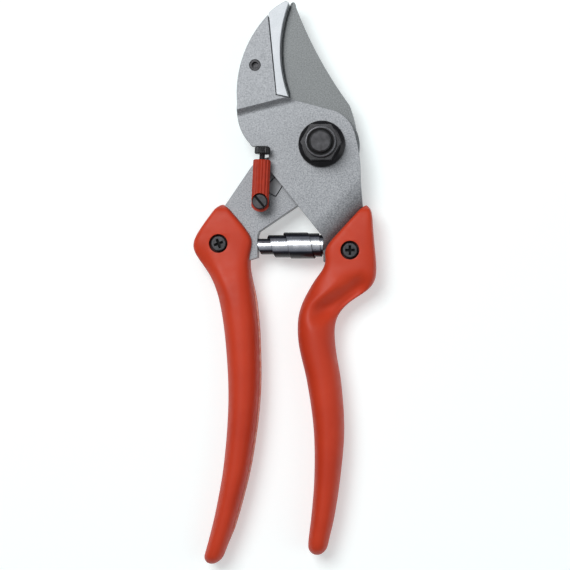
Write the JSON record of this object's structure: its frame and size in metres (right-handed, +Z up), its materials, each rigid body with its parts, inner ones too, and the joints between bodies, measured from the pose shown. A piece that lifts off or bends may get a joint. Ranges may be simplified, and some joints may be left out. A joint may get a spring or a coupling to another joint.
{
  "type": "pruning shears",
  "caption": "Anvil pruning shears with two moulded grips, a pivoting blade arm, a volute return spring and a swinging thumb-screw lock, lying closed.",
  "frame": {"origin": "on the main pivot's axis, in the plane that the shears lie on (the flat back of the pivot bolt's head)", "axes": "+Y towards the blade's tip, +X towards the right grip, +Z up from the surface the shears lie on"},
  "size_m": [0.0686, 0.2099, 0.026],
  "materials": {
    "blasted_aluminium": "grit-blasted satin",
    "anvil_metal": "fine satin",
    "coated_blade": "matt coated steel",
    "dark_steel": "dark blackened",
    "black_steel": "black oxide",
    "black_nylon": "matt",
    "bronze": "machined",
    "spring_steel": "polished strip",
    "red_grip": "smooth satin",
    "red_sleeve": "fluted"
  },
  "bodies": {
    "anvil_side": {"anvil_arm": "blasted_aluminium", "anvil_strip": "anvil_metal", "anvil_rivet": "dark_steel", "pivot_bush": "bronze", "volute_spring": "spring_steel", "right_grip_front": "red_grip", "right_grip_back": "red_grip", "right_grip_screw": "dark_steel"},
    "blade_side": {"blade_arm": "blasted_aluminium", "blade": "coated_blade", "blade_dowel": "dark_steel", "pivot_bolt": "dark_steel", "pivot_nut": "black_steel", "nut_lock_ring": "black_nylon", "lock_spacer": "dark_steel", "lock_screw": "dark_steel", "left_grip_front": "red_grip", "left_grip_back": "red_grip", "left_grip_screw": "dark_steel"},
    "lock": {"lock_sleeve": "red_sleeve", "lock_thumb_screw": "black_steel"}
  },
  "joints": [
    {"name": "blade_pivot", "type": "hinge", "parent": "anvil_side", "child": "blade_side", "pos_m": [0, 0, 0.011], "axis": [0, 0, -1], "range_deg": [0, 28], "stiffness_Nm_per_rad": 0.6, "springref_deg": 45.84, "deforming": ["volute_spring"]},
    {"name": "lock_swing", "type": "hinge", "parent": "blade_side", "child": "lock", "pos_m": [-0.0226, -0.0215, 0.018], "axis": [0, 0, 1], "range_deg": [0, 75]}
  ]
}
